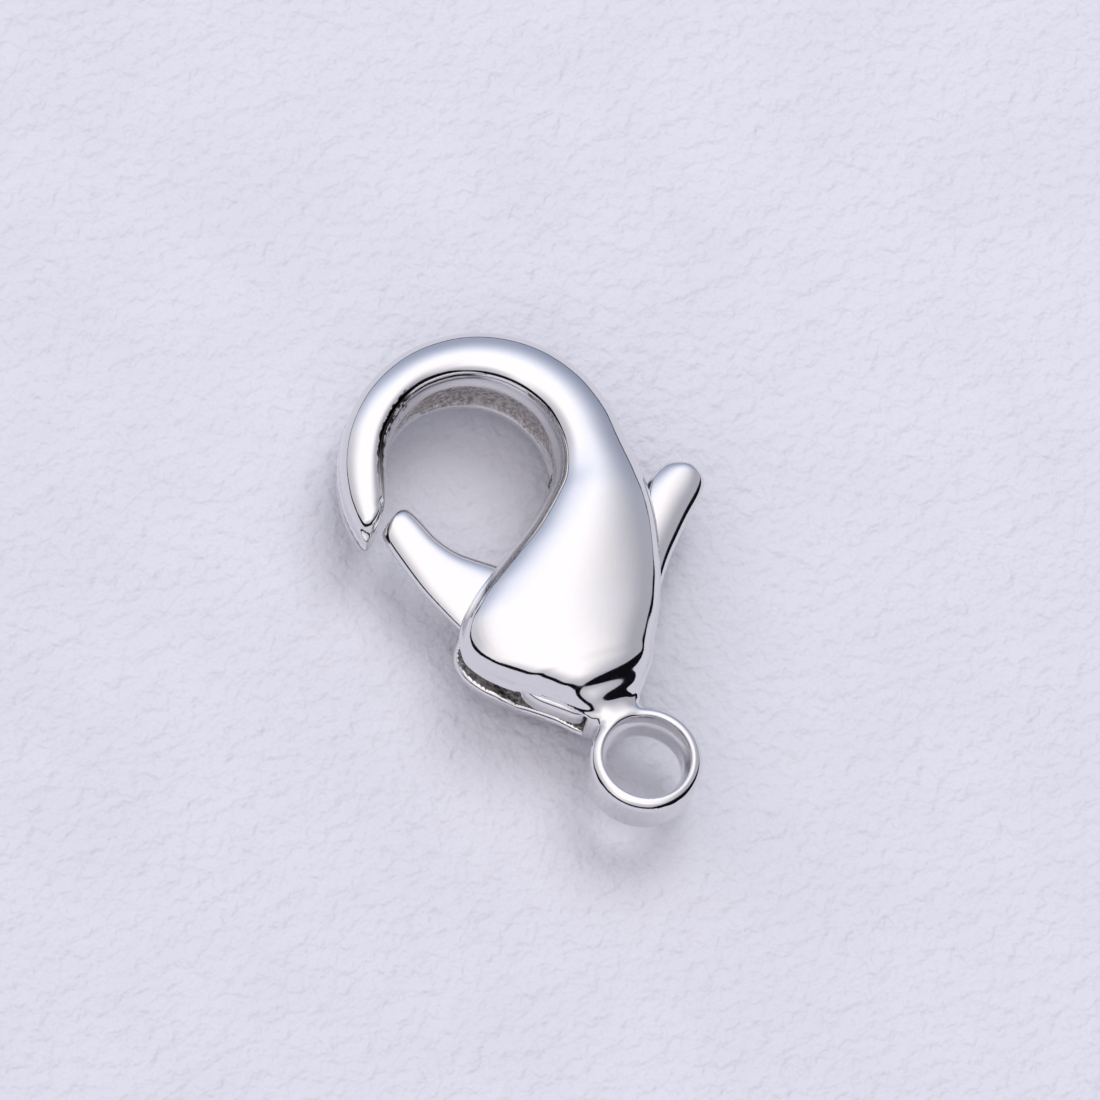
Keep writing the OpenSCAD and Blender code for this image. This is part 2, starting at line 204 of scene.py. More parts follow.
# Shallow cast hollow round the inside of the hook: the angles on the eye at which it opens and
# closes, its section, and its rough part
HOLLOW_OPENS, HOLLOW_CLOSES = (-34, 15), (85, 118)
HOLLOW_DEPTH, HOLLOW_HALF_HEIGHT, HOLLOW_SQUARENESS, HOLLOW_FADE = 0.11, 0.46, 2.6, 0.12
HOLLOW_LIMIT, HOLLOW_SOFTNESS = 0.3, 0.03
ROUGH_HEIGHTS, ROUGH_RADII = (-0.44, 0.30), (EYE_RADIUS - 0.03, EYE_RADIUS + 0.2)


def on_circle(centre, radius, angle):
    a = math.radians(angle)
    return centre + radius * np.array((math.cos(a), math.sin(a)))


def belly_row(r):
    return (r[0] * BELLY_WIDTH, RING_OUTER + r[1] * SPAN,
            r[2] * BELLY_WIDTH, RING_OUTER + r[3] * SPAN, r[4] * BELLY_THICKNESS / 2, *r[5:])


def shoulder_row(r):
    inner = on_circle(EYE, EYE_RADIUS, r[0])
    return (*inner, r[1] * BELLY_WIDTH, RING_OUTER + r[2] * SPAN,
            r[3] * BELLY_THICKNESS / 2, *r[4:8], 0, r[8])


def hook_row(r):
    run = max(0.0, (r[0] - HOOK_FLARE_FROM) / (TIP_INNER - HOOK_FLARE_FROM)) ** 2
    inner = on_circle(EYE, r[1] * EYE_RADIUS, r[0])
    outer = on_circle(OUTER_CENTRE, OUTER_RADIUS * (1 + TIP_FLARE * run),
                      r[0] + (TIP_OUTER - TIP_INNER) * run)
    return (*inner, *outer, r[2] * HOOK_THICKNESS / 2, *r[3:7], 0, r[7])


def hook_end():
    """Inner edge and width of the hook's end, and the directions along it and ahead of it."""
    row = np.array(hook_row(HOOK[-1]))
    inner, outer = row[0:2], row[2:4]
    width = np.linalg.norm(outer - inner)
    slant = (outer - inner) / width
    return inner, width, slant, np.array((-slant[1], slant[0]))


def arm_rows(table, end, section):
    way = end - PIVOT
    side = np.array((-way[1], way[0]))
    return [(*(PIVOT + r[0] * way + r[1] * side), *(PIVOT + r[2] * way + r[3] * side),
             r[4] * LEVER_THICKNESS / 2, *section) for r in table]


def stations(rows, steps):
    """Smooth curve through the rows."""
    rows = np.array(rows, float)
    last = len(rows) - 1
    out = []
    for i in range(last):
        a, b, c, d = rows[max(0, i - 1)], rows[i], rows[i + 1], rows[min(last, i + 2)]
        for t in np.arange(steps) / steps:
            out.append(0.5 * (2 * b + t * (c - a) + t * t * (2 * a - 5 * b + 4 * c - d)
                              + t ** 3 * (3 * b - a - 3 * c + d)))
    out.append(rows[last])
    return out


def quadrant(squareness, count):
    """Superellipse from its side to its top, evenly spread over the flank and over the top."""
    half = 0.5 ** (1 / squareness)
    step = half * (np.arange(count // 2) + 0.5) / (count // 2)
    rest = (1 - step ** squareness) ** (1 / squareness)
    return np.concatenate((rest, step[::-1])), np.concatenate((step, rest[::-1]))


def loft(rows, steps=10, around=128):
    """Points, triangles and quads of a closed skin through the rows' sections."""
    rings = []
    for r in stations(rows, steps):
        left_across, left_up = quadrant(r[5], around // 4)
        right_across, right_up = quadrant(r[6], around // 4)
        left_share = (1 - r[7]) * left_up + r[7] * (1 - left_across ** 2)
        right_share = (1 - r[8]) * right_up + r[8] * (1 - right_across ** 2)
        left_across = -left_across * r[10] * (1 - r[9] * left_share)
        right_across = right_across * (1 - r[10])
        across = np.concatenate((right_across, left_across[::-1], left_across, right_across[::-1]))
        share = np.concatenate((right_share, left_share[::-1], -left_share, -right_share[::-1]))
        plan = r[0:2] + (r[10] + across)[:, None] * (r[2:4] - r[0:2])
        rings.append(np.column_stack((plan, r[4] * share)))
    points = np.concatenate(rings)
    count, n = len(rings), len(rings[0])
    i = np.arange(n)
    after = (i + 1) % n
    quads = [np.column_stack((k * n + i, k * n + after, (k + 1) * n + after, (k + 1) * n + i))
             for k in range(count - 1)]
    ends = []
    for k, flip in ((0, True), (count - 1, False)):
        base = np.full(n, len(points))
        points = np.vstack((points, rings[k].mean(0)))
        a, b = k * n + i, k * n + after
        ends.append(np.column_stack((b, a, base) if flip else (a, b, base)))
    return points, np.concatenate(ends), np.concatenate(quads)


class Field:
    """A distance field on a grid whose points lie at whole multiples of the voxel."""

    def __init__(self, low, high):
        self.first = np.floor(np.array(low) / VOXEL).astype(int)
        self.size = np.ceil(np.array(high) / VOXEL).astype(int) - self.first + 1
        x, y, z = (((first + np.arange(size)) * VOXEL).astype(np.float32)
                   for first, size in zip(self.first, self.size))
        self.x, self.y, self.z = x[:, None, None], y[None, :, None], z[None, None, :]
        self.d = None

    def of_mesh(self, points, triangles, quads):
        grid = openvdb.FloatGrid.createLevelSetFromPolygons(
            points.astype(np.float32), triangles=triangles.astype(np.uint32),
            quads=quads.astype(np.uint32), halfWidth=BAND,
            transform=openvdb.createLinearTransform(voxelSize=VOXEL))
        out = np.empty(tuple(self.size), np.float32)
        grid.copyToArray(out, ijk=tuple(int(v) for v in self.first))
        return out

    def sample(self, p):
        """Value of the field at points, linear between grid points."""
        q = p / VOXEL - self.first
        i = np.clip(np.floor(q).astype(int), 0, self.size - 2)
        f = q - i
        value = np.zeros(len(p))
        for corner in np.ndindex(2, 2, 2):
            weight = np.prod(np.abs(1 - np.array(corner) - f), axis=1)
            x, y, z = (i + corner).T
            value += weight * self.d[x, y, z]
        return value

    def slope(self, p, step):
        return np.column_stack([
            (self.sample(p + step * axis) - self.sample(p - step * axis)) / (2 * step)
            for axis in np.eye(3)])

    def mesh(self):
        """Points, triangles, quads and normals of the zero surface, each point moved onto it."""
        grid = openvdb.FloatGrid(BAND * VOXEL)
        grid.copyFromArray(self.d, ijk=tuple(int(v) for v in self.first))
        grid.transform = openvdb.createLinearTransform(voxelSize=VOXEL)
        points, triangles, quads = grid.convertToPolygons(isovalue=0.0, adaptivity=0.0)
        points = points.astype(float)
        for _ in range(MOVES):
            slope = self.slope(points, VOXEL / 2)
            move = slope * (self.sample(points) / np.maximum((slope ** 2).sum(1), 0.05))[:, None]
            points -= np.clip(move, -VOXEL / 2, VOXEL / 2)
        normals = self.slope(points, VOXEL)
        normals /= np.maximum(np.linalg.norm(normals, axis=1), 1e-6)[:, None]
        return points, triangles, quads, normals


def soft_min(a, b, k):
    h = np.clip(0.5 + 0.5 * (b - a) / k, 0, 1)
    return b + (a - b) * h - k * h * (1 - h)


def soft_max(a, b, k):
    return -soft_min(-a, -b, k)


def smooth(low, high, value):
    t = np.clip((value - low) / (high - low), 0, 1)
    return t * t * (3 - 2 * t)


def tube(field, centre, radius):
    return np.sqrt((field.x - centre[0]) ** 2 + (field.y - centre[1]) ** 2) - radius


def strap(field, a, radius_a, b, radius_b):
    """Distance in plan to the outline that two discs and their common tangents make."""
    way = b - a
    length = np.linalg.norm(way)
    way = way / length
    along = (field.x - a[0]) * way[0] + (field.y - a[1]) * way[1]
    across = np.abs((field.x - a[0]) * way[1] - (field.y - a[1]) * way[0])
    cone = (radius_a - radius_b) / length
    share = np.clip((along - across * cone / math.sqrt(1 - cone ** 2)) / length, 0, 1)
    return np.hypot(across, along - share * length) - (radius_a + share * (radius_b - radius_a))


def oval(u, v, half_u, half_v, squareness):
    """Near-distance to a superellipse."""
    a, b = np.abs(u) / half_u, np.abs(v) / half_v
    power = squareness - 1
    f = (a ** squareness + b ** squareness) ** (1 / squareness)
    g = np.hypot(a ** power / half_u, b ** power / half_v) / np.maximum(f, 1e-6) ** power
    return (f - 1) / np.maximum(g, 0.2)


def outside_polygon(field, corners):
    """Distance in plan to a polygon, negative inside."""
    px, py = field.x[:, :, 0], field.y[:, :, 0]
    best, inside = None, np.zeros((field.size[0], field.size[1]), bool)
    for (ax, ay), (bx, by) in zip(corners, corners[1:] + corners[:1]):
        ex, ey = bx - ax, by - ay
        t = np.clip(((px - ax) * ex + (py - ay) * ey) / (ex * ex + ey * ey), 0, 1)
        gap = np.hypot(px - ax - t * ex, py - ay - t * ey)
        best = gap if best is None else np.minimum(best, gap)
        if ay != by:
            crosses = (ay > py) != (by > py)
            inside ^= crosses & (px < (bx - ax) * (py - ay) / (by - ay) + ax)
    return np.where(inside, -best, best)[:, :, None]


def hollow_width(x, y):
    """How far the hollow is open at a place in plan, from 0 to 1, and its distance from the eye."""
    ex, ey = x - EYE[0], y - EYE[1]
    angle = np.degrees(np.arctan2(ey, ex))
    angle = np.where(angle < -90, angle + 360, angle)
    return smooth(*HOLLOW_OPENS, angle) * (1 - smooth(*HOLLOW_CLOSES, angle)), np.hypot(ex, ey)


def lip_width(x, y):
    """How far each lip of the slot closes in at a place in plan, where the lever never comes."""
    heel = PIVOT + np.array(HEELS[0][:2]) * HUB_RADIUS
    free = smooth(*LIP_OFF_HEEL, np.hypot(x - heel[0], y - heel[1]) - HEELS[0][2] * HUB_RADIUS)
    free = free * smooth(*LIP_LEFT, -x) * smooth(*LIP_BELOW, -y)
    return LIP_WIDTH * free * np.maximum(smooth(*LIP_FAR_LEFT, -x), smooth(*LIP_FAR_BELOW, -y))


def cut_hook_end(field, d):
    """The body with its overlong hook cut off across the end, round the nose and by the facet."""
    inner, width, slant, ahead = hook_end()

    def along_and_across(share, off, turn):
        at = inner + width * (share * slant + off * ahead)
        facing = math.atan2(ahead[1], ahead[0]) + math.radians(turn)
        u, v = field.x - at[0], field.y - at[1]
        return (u * math.cos(facing) + v * math.sin(facing),
                np.abs(v * math.cos(facing) - u * math.sin(facing)))

    along, across = along_and_across(*TIP_NOSE)
    nose = np.hypot(np.maximum(along, 0), across) - NOSE_RADIUS * width
    nose = nose + BEHIND_NOSE * np.minimum(along, 0)
    slope = math.radians(NOSE_SLOPE)
    nose = nose * math.sin(slope) + (np.abs(field.z) - NOSE_HALF_HEIGHT) * math.cos(slope)
    beyond, _ = along_and_across(*TIP_FACET)
    tilt = math.radians(TIP_TILT)
    facet = np.abs(field.z) - TIP_LIP * HOOK_THICKNESS / 2
    facet = beyond * math.sin(tilt) + facet * math.cos(tilt)
    end = (field.x - inner[0]) * ahead[0] + (field.y - inner[1]) * ahead[1]
    tip = soft_max(d, end, END_SOFTNESS)
    tip = np.minimum(soft_max(tip, nose, NOSE_SOFTNESS), soft_max(tip, facet, FACET_SOFTNESS))
    near = (np.hypot(field.x - inner[0], field.y - inner[1]) < CUT_REACH) & (field.x < CUT_SIDE)
    return np.where(near, tip, d)


def end_ring(field, radius):
    """Upright band with a sloping crest and shoulder and a flared bore."""
    def sloping(angle, half_height, at):
        angle = math.radians(angle)
        return (np.abs(field.z) - half_height + (radius - at) * math.tan(angle)) * math.cos(angle)

    top = soft_max(sloping(*RING_CREST), sloping(*RING_SHOULDER), RING_SLOPE_SOFTNESS)
    ring = soft_max(radius - RING_OUTER, top, RING_RIM_SOFTNESS)
    flare = FLARE_SLOPE * np.maximum(np.abs(field.z) - FLARE_FROM, 0)
    ring = soft_max(ring, RING_HOLE + flare - radius, FLARE_SOFTNESS)
    return np.clip(ring, -BAND * VOXEL, BAND * VOXEL)


def parting_ridge(field):
    rim = np.hypot(field.x - OUTER_CENTRE[0], field.y - OUTER_CENTRE[1])
    outside = smooth(*RIDGE_BAND, rim) * smooth(*RIDGE_START, field.y)
    return RIDGE_HEIGHT * np.exp(-(field.z / RIDGE_WIDTH) ** 2) * outside


def slot_space(field):
    """Distance to the space inside the slot, which is open on both sides of the belly."""
    reach = BELLY_WIDTH + TAB_REACH
    corner = (SLOT_EYE[0] * BELLY_WIDTH, RING_OUTER + SLOT_EYE[1] * SPAN)
    flank = (reach, RING_OUTER + SLOT_FLANK * SPAN)
    outline = [(-reach, WEB_Y), (reach, WEB_Y), flank, corner, (-reach, corner[1])]
    plan = outside_polygon(field, outline)
    above = np.abs(field.z) - SLOT_HEIGHT / 2 + lip_width(field.x, field.y)
    return soft_max(plan, above, SLOT_SOFTNESS)


def hollow_space(field):
    width, eye = hollow_width(field.x, field.y)
    hollow = oval(eye - EYE_RADIUS, field.z, HOLLOW_DEPTH, HOLLOW_HALF_HEIGHT, HOLLOW_SQUARENESS)
    return np.clip(hollow + HOLLOW_FADE * (1 - width), -HOLLOW_LIMIT, HOLLOW_LIMIT)


def body_field():
    field = Field(*BODY_SPACE)
    rows = [*map(belly_row, BELLY), *map(shoulder_row, SHOULDER), *map(hook_row, HOOK)]
    # The hook runs on past its end, so that the cuts there have something to cut
    last, before = np.array(rows[-1]), np.array(rows[-2])
    last[:4] += HOOK_OVERRUN * (last - before)[:4]
    d = cut_hook_end(field, field.of_mesh(*loft(rows + [last])))

    radius = np.hypot(field.x, field.y)
    d = soft_min(d, end_ring(field, radius), RING_TO_NECK_SOFTNESS)
    d = soft_max(d, RING_HOLE - radius, BORE_SOFTNESS)
    d = d - parting_ridge(field)

    slot = slot_space(field)
    d = d - BEAD_HEIGHT * np.exp(-((slot - BEAD_DISTANCE) / BEAD_WIDTH) ** 2)
    d = soft_max(d, -slot, LIP_SOFTNESS)

    # Blind seat of the rivet
    seat = np.maximum(tube(field, PIVOT, RIVET_RADIUS + SEAT_GAP),
                      np.abs(field.z) - RIVET_LENGTH / 2 - SEAT_GAP)
    d = np.maximum(d, -seat)

    d = soft_max(d, -hollow_space(field), HOLLOW_SOFTNESS)
    field.d = d.astype(np.float32)
    return field


def lever_field():
    field = Field(*LEVER_SPACE)
    inner, _, slant, ahead = hook_end()
    gate_end = inner + GATE_END * EYE_RADIUS * slant + GATE_GAP * ahead
    tab_end = np.array((TAB_END[0] * BELLY_WIDTH + TAB_REACH, RING_OUTER + TAB_END[1] * SPAN))
    discs = [(PIVOT + np.array((x, y)) * HUB_RADIUS, radius * HUB_RADIUS)
             for x, y, radius in ((0, 0, 1), *HEELS)]
    sides = [strap(field, *discs[a], *discs[b]) for a, b in ((0, 1), (1, 2), (2, 0))]
    hub = np.minimum.reduce(sides)
    hub = soft_max(hub, np.abs(field.z) - LEVER_THICKNESS / 2, HUB_SOFTNESS)
    gate = field.of_mesh(*loft(arm_rows(GATE, gate_end, GATE_SECTION)))
    tab = field.of_mesh(*loft(arm_rows(TAB, tab_end, TAB_SECTION)))
    d = soft_min(soft_min(gate, tab, ARMS_SOFTNESS), hub, ARMS_TO_HUB_SOFTNESS)
    d = np.maximum(d, np.abs(field.z) - LEVER_THICKNESS / 2)
    d = np.maximum(d, -tube(field, PIVOT, RIVET_RADIUS + CLEARANCE))
    field.d = d.astype(np.float32)
    return field


class Nodes:
    """Short-hand for a node tree."""

    def __init__(self, tree):
        self.tree = tree
        tree.nodes.clear()

    def add(self, kind, inputs=None, **settings):
        node = self.tree.nodes.new(kind)
        for key, value in settings.items():
            setattr(node, key, value)
        for key, value in (inputs or {}).items():
            if isinstance(value, bpy.types.NodeSocket):
                self.tree.links.new(value, node.inputs[key])
            else:
                node.inputs[key].default_value = value
        return node

    def math(self, operation, a, b=0.0):
        return self.add("ShaderNodeMath", {0: a, 1: b}, operation=operation).outputs[0]

    def ramp(self, value, low, high, to_low=0.0, to_high=1.0):
        return self.add("ShaderNodeMapRange", {0: value, 1: low, 2: high, 3: to_low, 4: to_high},
                        interpolation_type="SMOOTHSTEP").outputs[0]

    def times_ramp(self, share, *ramp):
        return self.math("MULTIPLY", share, self.ramp(*ramp))

    def mix(self, share, a, b):
        return self.add("ShaderNodeMix", {0: share, 6: a, 7: b}, data_type="RGBA").outputs[2]

    def noise(self, place, scale, detail, roughness=0.5):
        return self.add("ShaderNodeTexNoise", {"Vector": place, "Scale": scale, "Detail": detail,
                                               "Roughness": roughness}).outputs["Fac"]

    def bump(self, height, noise, under=None):
        """Normal of a relief of noise, over another normal if there is one."""
        inputs = {"Strength": 1.0, "Distance": height * MM, "Height": noise}
        if under is not None:
            inputs["Normal"] = under
        return self.add("ShaderNodeBump", inputs).outputs[0]

    def vector(self, operation, a, b=(0, 0, 0)):
        return self.add("ShaderNodeVectorMath", {0: a, 1: b}, operation=operation).outputs

    def dot(self, a, b):
        return self.vector("DOT_PRODUCT", a, b)["Value"]

    def out_from(self, place, centre):
        """Way in plan from a centre to a place."""
        out = self.vector("SUBTRACT", place, (centre[0] * MM, centre[1] * MM, 0))["Vector"]
        return self.vector("MULTIPLY", out, (1, 1, 0))["Vector"]

    def parts(self, vector):
        return self.add("ShaderNodeSeparateXYZ", {0: vector}).outputs

    def output(self, kind, shader):
        out = self.add(kind)
        self.tree.links.new(shader.outputs[0], out.inputs[0])


# Noise in the metals, with scales per metre and ranges of its value
SLOW_SCALE, SPOT_SCALE, SPOT_RANGE, FINE_RANGE = 900.0, 2600.0, (0.35, 0.75), (0.3, 0.7)
# Roughness of the smoothest spots as a share, and how strongly wear darkens the grain
SMOOTH_SHARE, WEAR_TINT = 0.8, 0.5
# Paper of the floor, with its relief in millimetres
PAPER_SCALE, PAPER_HEIGHT, BLOTCH_SCALE, BLOTCH_RANGE = 2800.0, 0.13, 350.0, (0.3, 0.7)
PAPER_DARK, PAPER_LIGHT = (0.635, 0.635, 0.699, 1), (0.655, 0.655, 0.719, 1)
# Near-black of the slope-set patch and of the painted crease shade, and the noise that makes their
# edges ragged
PATCH_AND_SHADE_COLOUR, RAGGED_SCALE, RAGGEDNESS = (0.03, 0.028, 0.028, 1), 7000.0, 0.5
# Near-black patch inside the hook, set by the surface's slope: where it comes in and goes out again
# over the inward slope and over the angle from the -X side, clockwise, and the heights over which
# it comes in
PATCH_SLOPES = (0.46, 0.52), (0.84, 0.92)
PATCH_ANGLES = (-0.05, 0.60), (1.15, 1.40)
PATCH_HEIGHTS = (0.1, 0.3)
# Broken line of painted shade in the parting ridge's crease: its half height, share and raggedness,
# and how far inside the outer radius it comes in
LINE_HEIGHTS, LINE_SHARE, LINE_RAGGEDNESS, LINE_DEPTHS = (0.01, 0.04), 0.75, 0.25, (0.30, 0.15)


def dark_patch_and_crease_shade(n):
    """Share of near-black on the hook: a patch set by the surface's slope, and painted shade in the
    parting ridge's crease.
    """
    coords = n.add("ShaderNodeTexCoord")
    place = coords.outputs["Object"]
    _, y, z = n.parts(place)
    height = n.math("ABSOLUTE", z)
    ragged = n.math("SUBTRACT", n.noise(place, RAGGED_SCALE, 3.0), 0.5)
    ragged = n.math("MULTIPLY", ragged, RAGGEDNESS)

    # Near-black patch on the inner shoulder, where it faces the eye at a middling slope
    way = n.vector("NORMALIZE", n.out_from(place, EYE))["Vector"]
    inward = n.math("MULTIPLY", n.dot(way, coords.outputs["Normal"]), -1.0)
    way_x, way_y, _ = n.parts(way)
    angle = n.math("ARCTAN2", way_y, n.math("MULTIPLY", way_x, -1.0))
    slope = n.math("ADD", inward, ragged)
    share = n.ramp(slope, *PATCH_SLOPES[0])
    share = n.times_ramp(share, slope, *PATCH_SLOPES[1], 1.0, 0.0)
    share = n.times_ramp(share, angle, *PATCH_ANGLES[0])
    share = n.times_ramp(share, angle, *PATCH_ANGLES[1], 1.0, 0.0)
    share = n.times_ramp(share, height, *(h * MM for h in PATCH_HEIGHTS))

    # Painted shade in the parting ridge's crease round the outside
    rim = n.vector("LENGTH", n.out_from(place, OUTER_CENTRE))["Value"]
    line = n.math("ADD", height, n.math("MULTIPLY", ragged, LINE_RAGGEDNESS * MM))
    line = n.ramp(line, *(h * MM for h in LINE_HEIGHTS), LINE_SHARE, 0.0)
    line = n.times_ramp(line, rim, *((OUTER_RADIUS - depth) * MM for depth in LINE_DEPTHS))
    line = n.times_ramp(line, y, *(start * MM for start in RIDGE_START))
    return n.math("MAXIMUM", share, line)


def metal(name, colour, roughness, wave, grain, grain_scale, wear, dip=0.90, patch_and_shade=None):
    """Plated metal with a slow wave and a fine grain, whose heights are in millimetres.

    Wear makes its spots rougher and its grain darker, down to the share dip of the colour.
    """
    material = bpy.data.materials.new(name)
    material.use_nodes = True
    n = Nodes(material.node_tree)
    place = n.add("ShaderNodeTexCoord").outputs["Object"]
    slow = n.noise(place, SLOW_SCALE, 1.0)
    fine = n.noise(place, grain_scale, 4.0, 0.65)
    spots = n.noise(place, SPOT_SCALE, 3.0)
    bump = n.bump(grain, fine, n.bump(wave, slow))
    rough = n.ramp(spots, *SPOT_RANGE, roughness * SMOOTH_SHARE, roughness * (1 + wear))
    dark = [c * dip for c in colour[:3]] + [1.0]
    tint = n.mix(n.ramp(fine, *FINE_RANGE, 0.0, wear * WEAR_TINT), colour, dark)
    # Near-black mixed in by the given share: a patch set by the slope, and painted shade in the
    # parting ridge's crease
    if patch_and_shade:
        tint = n.mix(patch_and_shade(n), tint, PATCH_AND_SHADE_COLOUR)
    shader = n.add("ShaderNodeBsdfPrincipled", {
        "Base Color": tint, "Metallic": 1.0, "Roughness": rough, "Normal": bump})
    n.output("ShaderNodeOutputMaterial", shader)
    return material


def floor_material():
    material = bpy.data.materials.new("floor_card")
    material.use_nodes = True
    n = Nodes(material.node_tree)
    place = n.add("ShaderNodeTexCoord").outputs["Object"]
    tint = n.mix(n.ramp(n.noise(place, BLOTCH_SCALE, 3.0), *BLOTCH_RANGE), PAPER_DARK, PAPER_LIGHT)
    bump = n.bump(PAPER_HEIGHT, n.noise(place, PAPER_SCALE, 2.0))
    shader = n.add("ShaderNodeBsdfPrincipled", {
        "Base Color": tint, "Roughness": 0.8, "Normal": bump, "Specular IOR Level": 0.2})
    n.output("ShaderNodeOutputMaterial", shader)
    return material


SILVER, PIN_GREY = (0.80, 0.795, 0.80, 1), (0.62, 0.62, 0.63, 1)
# Warm rough cast, and a darker copy of it that paints shade inside the slot
WARM, WARM_IN_SHADE = (0.90, 0.85, 0.83, 1), (0.50, 0.47, 0.46, 1)
polished = metal("polished_plate", SILVER, roughness=0.07, wave=0.004,
                 grain=0.0004, grain_scale=9000.0, wear=0.3, patch_and_shade=dark_patch_and_crease_shade)
polished_lever = metal("polished_lever_plate", SILVER, roughness=0.08, wave=0.003,
                       grain=0.0004, grain_scale=9000.0, wear=0.3)
cast = metal("rough_cast_plate", WARM, roughness=0.12, wave=0.012,
             grain=0.10, grain_scale=10000.0, wear=2.0, dip=0.36)
# Darker copy of the rough cast: painted shade inside the slot
cast_in_shade = metal("rough_cast_painted_slot_shade", WARM_IN_SHADE, roughness=0.16, wave=0.012,
                      grain=0.10, grain_scale=10000.0, wear=2.0, dip=0.20)
pin_steel = metal("pin_steel", PIN_GREY, roughness=0.28, wave=0.0,
                  grain=0.004, grain_scale=12000.0, wear=0.5)


def add_object(name, data):
    obj = bpy.data.objects.new(name, data)
    bpy.context.scene.collection.objects.link(obj)
    return obj


def piece(name, field, body, node, materials, choose=None):
    """Mesh of a field, for a CAD node. choose picks each face's material by the face's centre."""
    points, triangles, quads, normals = field.mesh()
    mesh = bpy.data.meshes.new(name)
    faces = [tuple(int(v) for v in f[::-1]) for f in (*quads, *triangles)]
    mesh.from_pydata((points * MM).tolist(), [], faces)
    mesh.validate()
    mesh.update()
    facing = np.empty(len(mesh.polygons) * 3)
    mesh.polygons.foreach_get("normal", facing)
    first = np.array([p.vertices[0] for p in mesh.polygons])
    if (facing.reshape(-1, 3) * normals[first]).sum(1).mean() < 0:
        mesh.flip_normals()
    for material in materials:
        mesh.materials.append(material)
    if choose:
        centre = np.empty(len(mesh.polygons) * 3)
        mesh.polygons.foreach_get("center", centre)
        chosen = choose(*(centre.reshape(-1, 3) / MM).T)
        mesh.polygons.foreach_set("material_index", chosen.astype(np.int32))
    mesh.polygons.foreach_set("use_smooth", np.ones(len(mesh.polygons), bool))
    mesh.normals_split_custom_set_from_vertices(normals.tolist())
    obj = add_object(name, mesh)
    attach(obj, body)
    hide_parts(node)


def body_finish_and_shade(x, y, z):
    """1 in the rough hollow inside the hook, 2 for the painted shade inside the slot and 0
    elsewhere.
    """
    width, eye = hollow_width(x, y)
    low, high = (share * width for share in ROUGH_HEIGHTS)
    hollow = (z > low) & (z < high) & (eye > ROUGH_RADII[0]) & (eye < ROUGH_RADII[1])
    half = SLOT_HEIGHT / 2 - lip_width(x, y)
    slot = (np.abs(z) < half + SHADE_MARGIN) & (y > SHADE_FROM) & (y < SHADE_TO)
    return np.where(slot, 2, hollow)


piece("clasp_body", body_field(), "clasp", "body", [polished, cast, cast_in_shade],
      body_finish_and_shade)
piece("clasp_lever", lever_field(), "lever", "lever", [polished_lever])
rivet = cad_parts["rivet"]
rivet.data.materials.clear()
rivet.data.materials.append(pin_steel)

# Camera: the view's tilt off the clasp's face, the picture's roll, the angle of the clasp's axis,
# pixels a millimetre, and the pixel where the end ring's centre lies
TILT, ROLL, AXIS, SCALE, RING_AT = 26.0, 17.0, 44.5, 46.4, (643.5, 767.0)
# The photograph's width in pixels, and the camera's distance and sensor in millimetres
PICTURE, DISTANCE, SENSOR = 1100, 200.0, 36.0


def add_camera():
    """Camera at the photograph's angle, and the picture's right and up."""
    tilt, roll, axis = (math.radians(v) for v in (TILT, ROLL, AXIS))
    sin_tilt, cos_tilt = math.sin(tilt), math.cos(tilt)
    sin_axis, cos_axis = math.sin(axis), math.cos(axis)
    along = Vector((cos_axis, -sin_axis, 0))
    rise = Vector((sin_axis * cos_tilt, cos_axis * cos_tilt, sin_tilt))
    back = Vector((-sin_axis * sin_tilt, -cos_axis * sin_tilt, cos_tilt))
    right = math.cos(roll) * along + math.sin(roll) * rise
    up = -math.sin(roll) * along + math.cos(roll) * rise
    middle = PICTURE / 2
    target = right * ((middle - RING_AT[0]) / SCALE) + up * ((RING_AT[1] - middle) / SCALE)
    camera = add_object("camera", bpy.data.cameras.new("camera"))
    camera.data.sensor_width = SENSOR
    camera.data.lens = SENSOR * DISTANCE / (PICTURE / SCALE)
    camera.data.clip_start, camera.data.clip_end = 0.005, 20.0
    place = Matrix.Translation((target + back * DISTANCE) * MM)
    camera.matrix_world = place @ Matrix((right, up, back)).transposed().to_4x4()
    bpy.context.scene.camera = camera
    return right, up


def add_floor(low, half=1.5):
    mesh = bpy.data.meshes.new("floor")
    corners = [(-half, -half, low), (half, -half, low), (half, half, low), (-half, half, low)]
    mesh.from_pydata(corners, [], [(0, 1, 2, 3)])
    mesh.materials.append(floor_material())
    floor = add_object("floor", mesh)


# Studio: shares of its full brightness, each with its direction, the picture's right (0) or top
# (1), its range along that direction, and the shares at the range's ends
FADES = [
    (0, 0.08, 0.74, 1.0, 0.36),
    (0, -1.0, -0.40, 0.50, 1.0),
    (1, 0.50, 0.98, 1.0, 0.34),
    (1, -1.0, -0.55, 0.45, 1.0),
]
WHITE, BLUE_WHITE, BLUE_FROM = (1.30, 1.25, 1.27, 1), (1.18, 1.25, 1.48, 1), (0.3, 0.9)
DIM, BLACK = (0.01, 0.04, 0.14, 1), (0.006, 0.005, 0.008, 1)
# Top of the black round the horizon: higher to the lower right, lower towards the picture's top
LOWER_RIGHT, BAND_EDGE = (0.906, 0.423), 0.03
BAND_RIGHT, BAND_UP = (0.62, 0.98, 0.0, 0.38), (-0.3, 0.5, 0.23, 0.05)


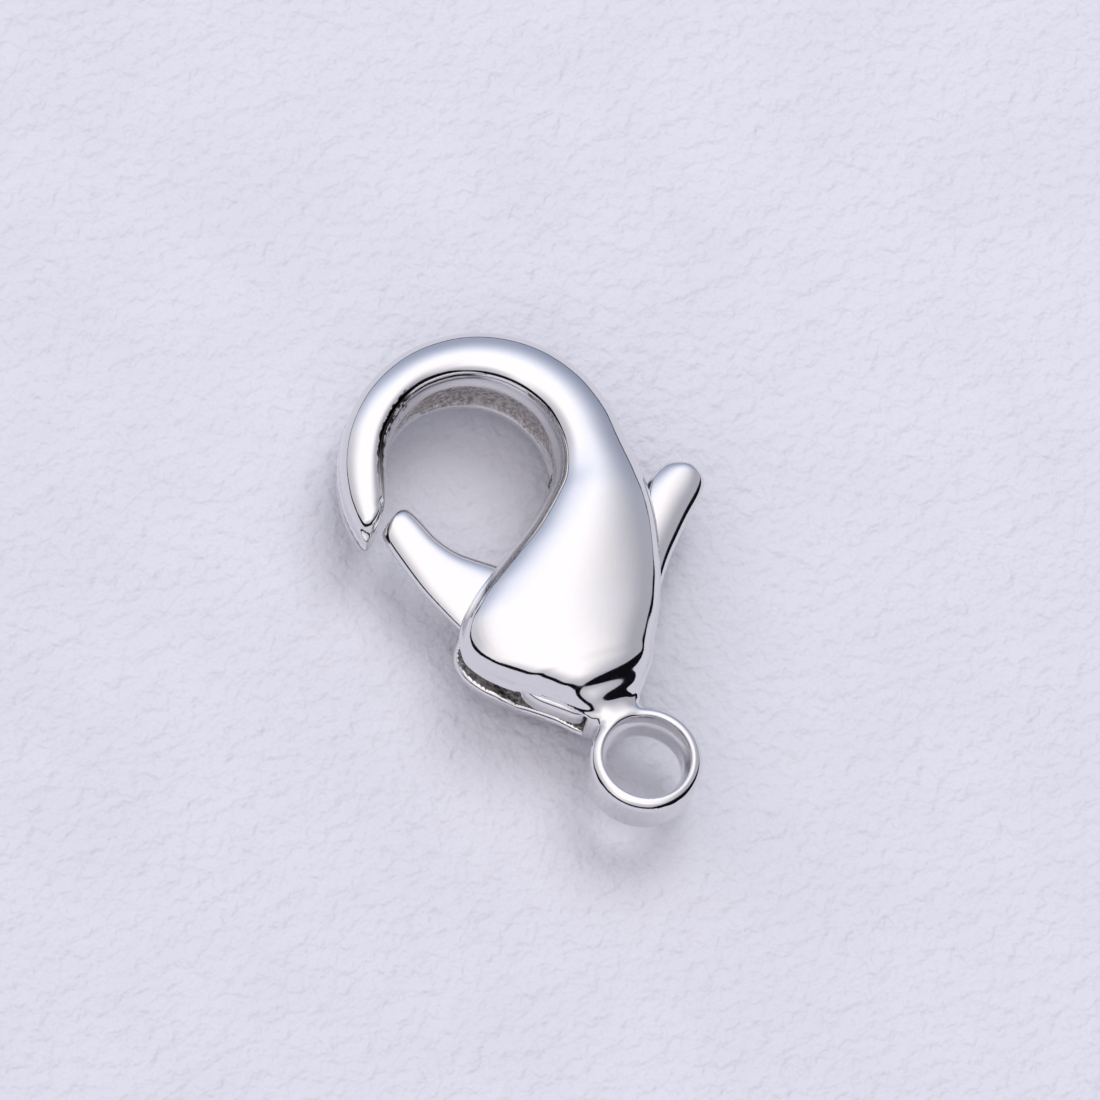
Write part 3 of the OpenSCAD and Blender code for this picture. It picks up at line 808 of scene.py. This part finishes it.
def add_studio(right, up):
    world = bpy.data.worlds.new("studio")
    bpy.context.scene.world = world
    world.use_nodes = True
    n = Nodes(world.node_tree)
    way = n.add("ShaderNodeTexCoord").outputs["Generated"]
    to_right, to_up = (n.dot(way, tuple(Vector((v.x, v.y, 0)).normalized())) for v in (right, up))
    height = n.dot(way, (0, 0, 1))
    share = 1.0
    for direction, *ramp in FADES:
        share = n.times_ramp(share, (to_right, to_up)[direction], *ramp)
    colour = n.mix(n.ramp(to_up, *BLUE_FROM), WHITE, BLUE_WHITE)
    colour = n.mix(share, DIM, colour)
    to_side = n.math("SUBTRACT", n.math("MULTIPLY", to_right, LOWER_RIGHT[0]),
                     n.math("MULTIPLY", to_up, LOWER_RIGHT[1]))
    band_top = n.math("ADD", n.ramp(to_side, *BAND_RIGHT), n.ramp(to_up, *BAND_UP))
    above = n.ramp(n.math("SUBTRACT", height, band_top), -BAND_EDGE, BAND_EDGE)
    colour = n.mix(n.math("SUBTRACT", 1.0, above), colour, BLACK)
    background = n.add("ShaderNodeBackground", {"Color": colour, "Strength": 1.0})
    n.output("ShaderNodeOutputWorld", background)


# Softbox: its size and distance in metres, its power in watts, and its direction along the
# picture's right, the picture's top and straight up
SOFTBOX_SIZE, SOFTBOX_DISTANCE, SOFTBOX_POWER, SOFTBOX_WAY = 0.25, 0.4, 0.55, (0.35, 0.8, 1.0)


def add_softbox(right, up):
    """Lamp for the shadow towards the lower left. It doesn't show in the metal."""
    softbox = add_object("softbox", bpy.data.lights.new("softbox", "AREA"))
    softbox.data.shape = "DISK"
    softbox.data.size = SOFTBOX_SIZE
    softbox.data.energy = SOFTBOX_POWER
    at = right * SOFTBOX_WAY[0] + up * SOFTBOX_WAY[1] + Vector((0, 0, SOFTBOX_WAY[2]))
    at = at.normalized() * SOFTBOX_DISTANCE
    turn = at.to_track_quat("Z", "Y").to_matrix().to_4x4()
    softbox.matrix_world = Matrix.Translation(at) @ turn
    softbox.visible_glossy = False


picture_right, picture_up = add_camera()
add_floor(cad_box[0][2])
add_studio(picture_right, picture_up)
add_softbox(picture_right, picture_up)
bpy.context.scene.view_settings.view_transform = "Standard"
bpy.context.scene.view_settings.look = "None"

bpy.context.view_layer.update()
